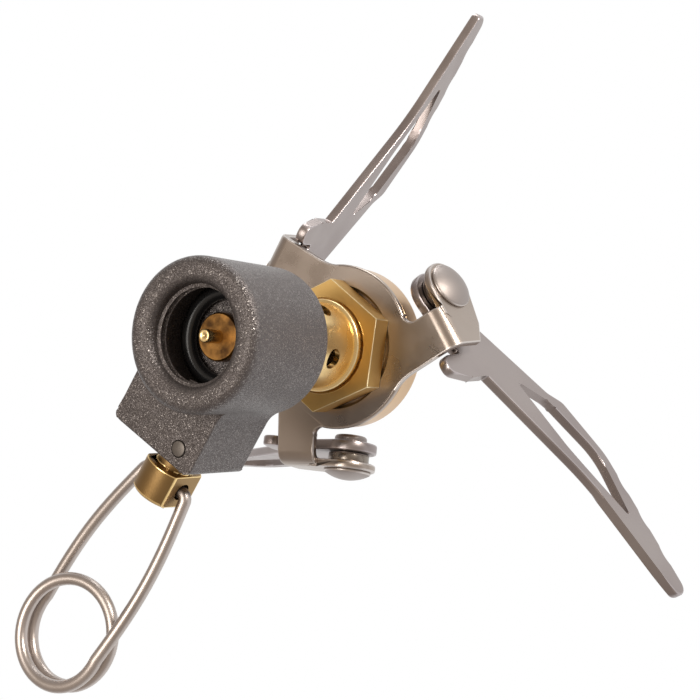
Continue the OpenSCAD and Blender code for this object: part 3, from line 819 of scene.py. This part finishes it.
@dataclass
class ValveBody(Assembly):
    """Valve body with the canister socket, its thread, and the retaining pin."""

    drum_r: float = 8.5
    block_z: float = 4.5
    socket_r: float = 5.55
    relief_r: float = 6.03
    relief_z: float = 3.5
    cut_z: float = 4.3
    rim_round: float = 1.2
    mouth_round: float = 1.15
    rim_steps: int = 128
    edge_round: float = 0.26
    edge_slack: float = 0.1
    pin_x: float = 12.9 * MM
    pin_y: float = -2.58 * MM
    pin_clear: float = 1.1 * MM
    pin_r: float = 0.88
    pin_bevel: float = 0.1
    pin_break: float = 0.03
    pin_end: float = 4.38
    pin_top: float = 13.3
    pin_steps: int = 48
    seat_r: float = 1.0
    seat_z: float = 4.48
    pitch: float = 0.907 * MM
    thread_from: float = 1.2 * MM
    thread_turns: float = 2.4
    thread_start: float = 210.0
    thread_crest: float = 5.2 * MM
    thread_root: float = 5.7 * MM
    crest_share: float = 0.08
    root_share: float = 0.3
    thread_steps: int = 72

    def rounded(self, middle: Vector) -> bool:
        """Whether an edge gets a rounding: the outline's edges above the rim.

        Args:
            middle: the edge's middle.

        Returns:
            True where it does.
        """
        near_pin = (middle.xy - Vector((self.pin_x, self.pin_y))).length < self.pin_clear
        if near_pin or middle.z < (self.block_z - self.edge_slack) * MM:
            return False
        return middle.xy.length > (self.drum_r - self.edge_slack) * MM

    def build(self) -> None:
        """Build the body, the thread and the pin."""
        self.build_shell()
        self.build_thread()
        self.build_pin()
        self.paint("canister_seal", RUBBER)
        self.paint("inlet_filter", GAUZE)

    def build_shell(self) -> None:
        """Build the body, with a turned rim in place of its lower end."""
        shell = Bench.copy_node("valve_body", "valve_body_shell")
        with Bench.editing(shell):
            bpy.ops.mesh.bisect(plane_co=(0, 0, self.cut_z * MM), plane_no=(0, 0, 1),
                                use_fill=True, clear_inner=True)
            bpy.ops.mesh.select_all(action="SELECT")
            bpy.ops.mesh.quads_convert_to_tris(quad_method="FIXED", ngon_method="BEAUTY")
        Bench.soften(shell, self.edge_round * MM, self.rounded, segments=3)
        outer, inner = self.rim_round, self.mouth_round
        rim = Bench.turned("valve_body_rim", [
            (self.relief_r, self.cut_z), (self.drum_r, self.cut_z),
            *Bench.arc((self.drum_r - outer, outer), outer, 0, -90),
            *Bench.arc((self.socket_r + inner, inner), inner, -90, -180),
            (self.socket_r, self.relief_z), (self.relief_r, self.relief_z), (self.relief_r, self.cut_z),
        ], self.rim_steps)
        Bench.only(shell)
        rim.select_set(True)
        bpy.ops.object.join()
        Bench.smooth(shell)
        Bench.dress(shell, ANODISED, ANODISED)
        self.keep(shell, Body.BURNER.value, Slot.ANODISED, "valve_body")

    def build_thread(self) -> None:
        """Wind the thread's ridge up the socket's wall."""
        bpy.ops.object.select_all(action="DESELECT")
        bpy.ops.mesh.primitive_circle_add(vertices=4, radius=MM, fill_type="NOTHING")
        ridge = bpy.context.object
        ridge.name = "socket_thread"
        crest, root = self.crest_share * self.pitch, self.root_share * self.pitch
        corners = ((self.thread_crest, crest), (self.thread_root, root), (self.thread_root, -root),
                   (self.thread_crest, -crest))
        for vertex, (r, z) in zip(ridge.data.vertices, corners):
            vertex.co = (r, 0, self.thread_from + z)
        turns = self.thread_turns
        steps = int(self.thread_steps * turns)
        Bench.apply(ridge, "SCREW", axis="Z", angle=math.tau * turns, screw_offset=self.pitch * turns,
                    steps=steps, render_steps=steps, use_normal_calculate=True)
        with Bench.editing(ridge):
            bpy.ops.mesh.remove_doubles(threshold=Bench.MERGE)
            bpy.ops.mesh.fill_holes(sides=4)
            bpy.ops.mesh.normals_make_consistent(inside=False)
        Bench.settle(ridge, Matrix.Rotation(math.radians(self.thread_start), 4, "Z"))
        Bench.smooth(ridge)
        Bench.dress(ridge, ANODISED)
        self.keep(ridge, Body.BURNER.value, Slot.ANODISED)

    def build_pin(self) -> None:
        """Build the retaining pin, with a near-black ring around its end, painted shadow of the gap at
        its seat.
        """
        end, r = self.pin_end, self.pin_r
        pin = Bench.turned("retaining_pin_end", [
            (0, end), (r - self.pin_bevel, end), (r - self.pin_break, end + self.pin_break),
            (r, self.seat_z), (self.seat_r, self.seat_z), (self.seat_r, self.pin_top), (0, self.pin_top),
        ], self.pin_steps)
        Bench.dress(pin, PIN_STEEL, PIN_SHADOW_GAP)
        # Faces outside the pin's end get the painted shadow of the seat gap.
        for face in pin.data.polygons:
            face.material_index = int(face.center.xy.length > r * MM)
        Bench.settle(pin, Matrix.Translation((self.pin_x, self.pin_y, 0)))
        Bench.smooth(pin)
        self.keep(pin, Body.BURNER.value, Slot.STEEL, "retaining_pin")


@dataclass
class Probe(Assembly):
    """Brass hub and pin that open the canister's valve."""

    hub_r: float = 2.7
    hub_z: float = 5.0
    hub_t: float = 1.2
    hub_edge: float = 0.18
    stem_r: float = 1.9
    stem_top: float = 7.9
    pin_r: float = 0.75
    pin_tip: float = 2.5
    pin_steps: int = 40
    # The rounded, dimpled end: share of the radius, and height above the tip.
    tip_outline: tuple[Corner, ...] = (
        (1.0, 0.22), (0.95, 0.09), (0.86, 0.02), (0.74, 0.0), (0.3, 0.02), (0.2, 0.1), (0.0, 0.14))

    def build(self) -> None:
        """Build the hub and the pin."""
        r, low, edge = self.hub_r, self.hub_z, self.hub_edge
        high, middle = low + self.hub_t, low + self.hub_t / 2
        hub = Bench.turned("probe_hub_turned", [
            (0, self.stem_top), (self.stem_r, self.stem_top), (self.stem_r, high),
            (r, high), (r, low + edge), (r - edge, low), (0, low),
        ])
        Bench.smooth(hub)
        Bench.dress(hub, STAINED_BRASS)
        self.keep(hub, Body.BURNER.value, Slot.BRASS, "probe_hub")
        pin = Bench.turned("probe_pin_turned", [
            (0, middle), (self.pin_r, middle),
            *((share * self.pin_r, self.pin_tip + rise) for share, rise in self.tip_outline),
        ], self.pin_steps)
        Bench.smooth(pin, angle=50)
        Bench.dress(pin, TURNED_BRASS)
        self.keep(pin, Body.BURNER.value, Slot.BRASS, "probe_pin")


@dataclass
class Spindle(Assembly):
    """Brass needle spindle with its flatted barrel head."""

    head_x: float = 16.9 * MM
    cross: Point = (19.1 * MM, 0.0, 9.45 * MM)
    hole_r: float = 0.88 * MM
    hole_shown: float = 1.06 * MM
    hole_clear: float = 1.05
    hole_slack: float = 0.02 * MM
    rounding: float = 0.16 * MM

    def rounded(self, middle: Vector) -> bool:
        """Whether an edge gets a rounding: on the head, clear of the cross hole.

        Args:
            middle: the edge's middle.

        Returns:
            True where it does.
        """
        way = middle - Vector(self.cross)
        at_hole = math.hypot(way.x, way.z) < self.hole_clear * self.hole_shown
        return not at_hole and middle.x > self.head_x

    def build(self) -> None:
        """Build the spindle with softened edges on its head and a worn cross hole, its faces darkened as
        painted shade and its edges lighter as painted highlight.
        """
        spindle = Bench.copy_node("valve_spindle", "spindle_turned")
        for vertex in spindle.data.vertices:
            way = vertex.co - Vector(self.cross)
            way.y = 0.0
            if abs(way.length - self.hole_r) < self.hole_slack:
                vertex.co += way * (self.hole_shown / self.hole_r - 1)
        # Dark brass on the faces is painted shade; bright turned brass on the edges is a painted
        # highlight.
        finishes = (SHADED_SPINDLE_BRASS, TURNED_BRASS)
        self.rework(spindle, self.rounding, finishes, Body.SPINDLE.value, Slot.BRASS, "valve_spindle")
        self.paint("spindle_seal", RUBBER)


@dataclass
class WireHandle(Assembly):
    """Handle bent from one wire: two hooked arms and a ring of one and a half turns."""

    wire_d: float = 1.5
    wire_steps: int = 6
    cross_x: float = 19.1
    spindle_z: float = 9.45
    tilt: float = 10.0
    hook_y: float = 2.62
    hook_r: float = 0.95
    hook_lead: float = 0.5
    ring_reach: float = 21.6
    ring_r: float = 6.15
    ring_pitch: float = 2.0
    arm_bow: float = 0.9
    pin_end: float = 1.0
    ring_steps: int = 96
    arm_steps: int = 14
    hook_steps: int = 8

    def route(self) -> list[Vector]:
        """Route of the wire's middle.

        Returns:
            Points along it, in its own frame, in millimetres.
        """
        arm_y = self.hook_y + self.hook_r
        run = math.hypot(self.ring_reach - self.hook_r, arm_y)
        heading = math.asin(self.ring_r / run) - math.atan2(arm_y, self.ring_reach - self.hook_r)
        start = math.pi / 2 + heading
        turn = 2 * start + math.tau
        lift = self.ring_pitch * turn / (2 * math.tau)
        half = [Vector((0, self.pin_end, 0)), Vector((0, self.hook_y - self.hook_lead, 0))]
        for i in range(self.hook_steps + 1):
            a = i / self.hook_steps * (math.pi / 2 - heading)
            x, y = self.hook_r * (1 - math.cos(a)), self.hook_y + self.hook_r * math.sin(a)
            half.append(Vector((x, y, 0)))
        ring = []
        for i in range(self.ring_steps + 1):
            f = i / self.ring_steps
            a = start - turn * f
            x, y = self.ring_reach + self.ring_r * math.cos(a), self.ring_r * math.sin(a)
            ring.append(Vector((x, y, lift * (1 - 2 * f))))
        out = Vector((-math.sin(heading), math.cos(heading), 0))
        begin = half[-1]
        for i in range(1, self.arm_steps):
            f = i / self.arm_steps
            half.append(begin.lerp(ring[0], f) + out * self.arm_bow * math.sin(math.pi * f))
        other = [Vector((p.x, -p.y, -p.z)) for p in reversed(half)]
        return half + ring + other

    def build(self) -> None:
        """Bend the wire and make it a mesh."""
        place = (Matrix.Translation(Vector((self.cross_x, 0, self.spindle_z)) * MM)
                 @ Matrix.Rotation(math.radians(self.tilt), 4, "Y"))
        points = [place @ (p * MM) for p in self.route()]
        curve = bpy.data.curves.new("wire_loop", "CURVE")
        curve.dimensions = "3D"
        curve.bevel_depth = self.wire_d * MM / 2
        curve.bevel_resolution = self.wire_steps
        curve.use_fill_caps = True
        spline = curve.splines.new("POLY")
        spline.points.add(len(points) - 1)
        for knot, point in zip(spline.points, points):
            knot.co = (*point, 1)
        obj = bpy.data.objects.new("wire_loop", curve)
        bpy.context.scene.collection.objects.link(obj)
        Bench.only(obj)
        bpy.ops.object.convert(target="MESH")
        wire = bpy.context.object
        with Bench.editing(wire):
            bpy.ops.mesh.remove_doubles(threshold=Bench.MERGE)
            bpy.ops.mesh.normals_make_consistent(inside=False)
        Bench.smooth(wire, angle=50)
        Bench.dress(wire, NICKEL_WIRE)
        self.keep(wire, Body.HANDLE.value, Slot.STEEL, "wire_handle")


@dataclass
class Stack(Assembly):
    """Mixing tube, nut, burner head and what lies inside them, on the burner axis."""

    air_z: float = 21.0 * MM
    air_r: float = 1.25 * MM
    air_clear: float = 1.2

    def rounded(self, middle: Vector) -> bool:
        """Whether an edge gets a rounding: not at an air hole."""
        return abs(middle.z - self.air_z) >= self.air_clear * self.air_r

    def build(self) -> None:
        """Build the pieces up the burner axis."""
        # Each piece's second finish goes on its rounded edges; the brighter brass there is a painted
        # highlight.
        turned = (
            ("mixing_tube", "mixing_tube_turned", 0.14 * MM, TURNED_BRASS, BRASS_EDGE_HIGHLIGHT),
            ("hex_nut", "clamp_nut", 0.11 * MM, MILLED_BRASS, BRASS_EDGE_HIGHLIGHT),
            ("burner_head", "burner_cup", 0.14 * MM, SHADED_BURNER_BRASS, SHADED_BURNER_BRASS),
            ("flame_plate", "flame_disc", 0.06 * MM, TURNED_BRASS, BRASS_EDGE_HIGHLIGHT),
        )
        for node, name, rounding, finish, edge in turned:
            piece = Bench.copy_node(node, name)
            self.rework(piece, rounding, (finish, edge), Body.BURNER.value, Slot.BRASS, node)
        self.paint("gas_jet", TURNED_BRASS)
        self.paint("flame_gauze", GAUZE)


@dataclass
class Bracket(Assembly):
    """Pressed steel bracket with three arms and ears."""

    rounding: float = 0.25 * MM
    count: int = 3
    hinge_start: float = 90.0
    hinge_r: float = 12.8 * MM
    hinge_z: float = 34.1 * MM
    lean: float = 11.0
    toe: float = 2.0
    ear_faces: Span = (1.92 * MM, 2.92 * MM)
    flats: Span = (29.2 * MM, 30.2 * MM)
    step: float = 0.02 * MM
    merge: float = 0.003 * MM
    reach: float = 9.0 * MM
    ear_foot: Point = (2.83 * MM, 3.75 * MM, -3.2 * MM)
    foot_reach: float = 0.6 * MM

    def hinge_frames(self) -> list[Matrix]:
        """Frames of the hinges.

        Returns:
            A frame for each hinge, with its axis along X.
        """
        toe = Matrix.Rotation(math.radians(-self.toe), 4, "Z")
        lean = Matrix.Rotation(math.radians(self.lean), 4, "Y")
        out = Matrix.Translation((self.hinge_r, 0, self.hinge_z)) @ (toe @ lean)
        angles = [math.radians(self.hinge_start + 360 / self.count * k) for k in range(self.count)]
        return [Matrix.Rotation(a, 4, "Z") @ out for a in angles]

    def level(self, obj: bpy.types.Object) -> None:
        """Draw the arms flush with the dish, and the tabs flush with the ears.

        Args:
            obj: the bracket.
        """
        near = self.step / 4
        frames = [(place, place.inverted()) for place in self.hinge_frames()]
        for vertex in obj.data.vertices:
            for flat in self.flats:
                if -near < vertex.co.z - flat < self.step + near:
                    vertex.co.z = flat
            for place, back in frames:
                local = back @ vertex.co
                for face, way in zip(self.ear_faces, (1, -1)):
                    proud = (local.x - face) * way
                    if local.yz.length < self.reach and -near < proud < self.step + near:
                        local.x = face
                        vertex.co = place @ local
        with Bench.editing(obj):
            bpy.ops.mesh.remove_doubles(threshold=self.merge)
            bpy.ops.mesh.dissolve_degenerate(threshold=self.merge)
            bpy.ops.mesh.dissolve_limited(angle_limit=Bench.FLAT_ANGLE)

    def rounded(self, middle: Vector) -> bool:
        """Whether an edge gets a rounding: not at an ear's foot on the bend."""
        feet = (place @ Vector(self.ear_foot) for place in self.hinge_frames())
        return all((middle - foot).length > self.foot_reach for foot in feet)

    def build(self) -> None:
        """Build the bracket with softened edges."""
        bracket = Bench.copy_node("support_bracket", "bracket_pressing")
        self.level(bracket)
        # Lighter steel on the rounded edges: painted highlight.
        finishes = (PRESSED_STEEL, STEEL_EDGE_HIGHLIGHT)
        self.rework(bracket, self.rounding, finishes, Body.BURNER.value, Slot.STEEL, "support_bracket")


@dataclass
class Supports(Assembly):
    """Pot supports with their rivets and washers."""

    count: int = 3
    rounding: float = 0.24 * MM
    hinge_rounding: float = 0.12 * MM

    def build(self) -> None:
        """Build every support and its hinge."""
        for k in range(1, self.count + 1):
            node = f"pot_support_{k}"
            blade = Bench.copy_node(node, f"support_blade_{k}")
            # Lighter blade steel on the rounded edges: painted highlight.
            finishes = (BLADE_STEEL, BLADE_EDGE_HIGHLIGHT)
            body = f"{Body.SUPPORT.value}{k}"
            self.rework(blade, self.rounding, finishes, body, Slot.SUPPORT_STEEL, node)
            for kind, finish in (("pivot_rivet", RIVET_STEEL), ("spacer_washer", WASHER_STEEL)):
                node = f"{kind}_{k}"
                piece = Bench.copy_node(node, f"{kind}_worked_{k}")
                # Lighter steel on the rounded edges: painted highlight.
                finishes = (finish, STEEL_EDGE_HIGHLIGHT)
                self.rework(piece, self.hinge_rounding, finishes, Body.BURNER.value, Slot.STEEL, node)


# The studio


@dataclass(frozen=True)
class Lamp:
    """A soft box, placed by its way from the target in the camera's own directions, in metres."""

    name: str
    right: float
    up: float
    towards: float
    size: float
    power: float
    colour: Colour = (1.0, 1.0, 1.0)


@dataclass
class Studio:
    """Camera, floor, lamps and world."""

    eye: Point = (-39.67, -75.80, -108.83)
    right: Point = (-0.46858, -0.71787, 0.51487)
    down: Point = (0.84989, -0.52536, 0.04099)
    forward: Point = (0.24107, 0.45679, 0.85629)
    focal: float = 1302.9
    frame_px: float = 700.0
    sensor: float = 36.0
    clip_end: float = 20.0
    target: Point = (4.0, 2.0, 22.0)
    floor_size: float = 30.0
    floor_drop: float = 0.3 * MM
    paper: Colour = (0.86, 0.86, 0.86)
    lamps: tuple[Lamp, ...] = (
        Lamp("key", 0.20, 0.20, 0.20, 0.08, 0.75, (1.0, 0.96, 0.90)),
        Lamp("fill", -0.22, 0.02, 0.30, 0.24, 0.7, (1.0, 0.96, 0.91)),
        Lamp("top", 0.05, 0.34, -0.10, 0.16, 0.3),
    )
    ground: Colour = (0.48, 0.41, 0.345)
    around: Colour = (0.47, 0.435, 0.42)
    sky: Colour = (1.0, 1.0, 1.0)
    around_span: Span = (-0.85, 0.05)
    sky_span: Span = (-0.1, 0.3)

    def axes(self) -> tuple[Vector, Vector, Vector]:
        """Camera's right, up and backward directions."""
        return Vector(self.right), -Vector(self.down), -Vector(self.forward)

    def build_camera(self) -> None:
        """Set the camera where the photograph was taken."""
        data = bpy.data.cameras.new("photo_camera")
        data.sensor_width = self.sensor
        data.lens = self.focal / self.frame_px * self.sensor
        data.clip_start = MM
        data.clip_end = self.clip_end
        camera = bpy.data.objects.new("photo_camera", data)
        bpy.context.scene.collection.objects.link(camera)
        turn = Matrix(self.axes()).transposed().to_4x4()
        camera.matrix_world = Matrix.Translation(Vector(self.eye) * MM) @ turn
        bpy.context.scene.camera = camera

    def build_lamps(self) -> None:
        """Hang the soft boxes."""
        right, up, back = self.axes()
        aim = Vector(self.target) * MM
        for lamp in self.lamps:
            data = bpy.data.lights.new(lamp.name, "AREA")
            data.shape = "DISK"
            data.size = lamp.size
            data.energy = lamp.power
            data.color = lamp.colour
            obj = bpy.data.objects.new(lamp.name, data)
            bpy.context.scene.collection.objects.link(obj)
            obj.location = aim + right * lamp.right + up * lamp.up + back * lamp.towards
            obj.rotation_euler = (aim - obj.location).to_track_quat("-Z", "Y").to_euler()
            obj.visible_camera = False

    def build_floor(self) -> None:
        """Lay the pale floor, which shows from above only."""
        bpy.ops.object.select_all(action="DESELECT")
        bpy.ops.mesh.primitive_plane_add(size=self.floor_size, location=(0, 0, -self.floor_drop))
        floor = bpy.context.object
        floor.name = "floor"
        made = bpy.data.materials.new("Pale floor")
        made.use_nodes = True
        sheet = Sheet(made.node_tree)
        made.node_tree.nodes.clear()
        paper = sheet.add("ShaderNodeBsdfDiffuse")
        paper.inputs["Color"].default_value = opaque(self.paper)
        clear = sheet.add("ShaderNodeBsdfTransparent")
        side = sheet.add("ShaderNodeNewGeometry")
        mixed = sheet.add("ShaderNodeMixShader")
        sheet.join(side.outputs["Backfacing"], mixed.inputs[0])
        sheet.join(paper.outputs[0], mixed.inputs[1])
        sheet.join(clear.outputs[0], mixed.inputs[2])
        sheet.join(mixed.outputs[0], sheet.add("ShaderNodeOutputMaterial").inputs[0])
        floor.data.materials.append(made)
        floor.visible_shadow = False
        floor.visible_diffuse = False
        floor.visible_glossy = False

    def build_world(self) -> None:
        """Light the room: white above, dimmer around and below."""
        world = bpy.data.worlds.new("studio")
        bpy.context.scene.world = world
        world.use_nodes = True
        sheet = Sheet(world.node_tree)
        world.node_tree.nodes.clear()
        parts = sheet.add("ShaderNodeSeparateXYZ")
        sheet.join(sheet.add("ShaderNodeTexCoord").outputs["Generated"], parts.inputs[0])
        low = sheet.spread(parts.outputs[2], self.around_span)
        high = sheet.spread(parts.outputs[2], self.sky_span)
        room = sheet.mix(low, opaque(self.ground), opaque(self.around))
        light = sheet.add("ShaderNodeBackground")
        sheet.join(sheet.mix(high, room, opaque(self.sky)), light.inputs["Color"])
        sheet.join(light.outputs[0], sheet.add("ShaderNodeOutputWorld").inputs[0])

    def build(self) -> None:
        """Build the studio."""
        bpy.context.scene.view_settings.view_transform = "Standard"
        self.build_camera()
        self.build_lamps()
        self.build_floor()
        self.build_world()


def main() -> None:
    """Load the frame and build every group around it."""
    logging.basicConfig(level=logging.INFO, format="%(name)s: %(message)s")
    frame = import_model()
    Bench.nodes = frame["nodes"]
    Studio().build()
    for group in (ValveBody(), Probe(), Spindle(), WireHandle(), Stack(), Bracket(), Supports()):
        group.build()
        for piece in group.made:
            LOG.info("%s: %s", type(group).__name__, piece)


if __name__ == "__main__":
    main()
